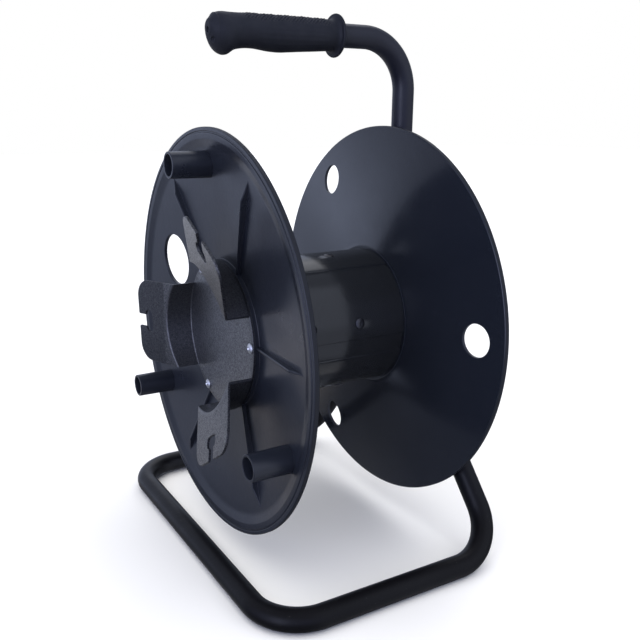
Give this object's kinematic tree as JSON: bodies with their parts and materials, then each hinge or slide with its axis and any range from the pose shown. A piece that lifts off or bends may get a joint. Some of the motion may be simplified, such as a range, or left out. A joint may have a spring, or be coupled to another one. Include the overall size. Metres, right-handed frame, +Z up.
{
  "type": "portable cable reel",
  "caption": "Portable reel for cable: a dished plastic drum with a hook plate turns on a fixed axle, carried by a bent tube stand with a rubber hand grip.",
  "frame": {"origin": "on the floor, under the middle of the whole reel's box", "axes": "+X across the stand, +Y along the axle from the hook plate to the post, +Z up"},
  "size_m": [0.32, 0.2225, 0.4259],
  "materials": {
    "flange_plastic": "black moulded plastic, satin to gloss",
    "core_plastic": "black moulded plastic, gloss",
    "plate_coating": "fine textured dark grey powder coat",
    "stand_coating": "satin black powder coat",
    "grip_rubber": "matte black moulded rubber",
    "cap_plastic": "matte black plastic",
    "bush_plastic": "natural nylon",
    "axle_steel": "turned steel",
    "black_zinc": "black zinc plating",
    "zinc": "bright zinc plating"
  },
  "bodies": {
    "stand": {"handle_tube": "stand_coating", "post_end_cap": "cap_plastic", "handle_end_plug": "cap_plastic", "hand_grip": "grip_rubber", "leg_left": "stand_coating", "leg_right": "stand_coating", "base_left_rail": "stand_coating", "base_right_rail": "stand_coating", "base_front_rail": "stand_coating", "axle": "axle_steel", "axle_washer": "zinc", "axle_nut": "zinc", "rear_thrust_washer": "bush_plastic", "rear_spacer": "axle_steel", "axle_plate": "stand_coating"},
    "drum": {"front_flange": "flange_plastic", "rear_flange": "flange_plastic", "core_upper_shell": "core_plastic", "core_lower_shell": "core_plastic", "core_front_screws": "black_zinc", "core_rear_screws": "black_zinc", "hook_plate": "plate_coating", "hook_plate_screws": "zinc", "front_bush": "bush_plastic", "rear_bush": "bush_plastic"}
  },
  "joints": [
    {"name": "drum_spin", "type": "hinge", "parent": "stand", "child": "drum", "pos_m": [0, 0, 0.182], "axis": [0, 1, 0], "continuous": true}
  ]
}
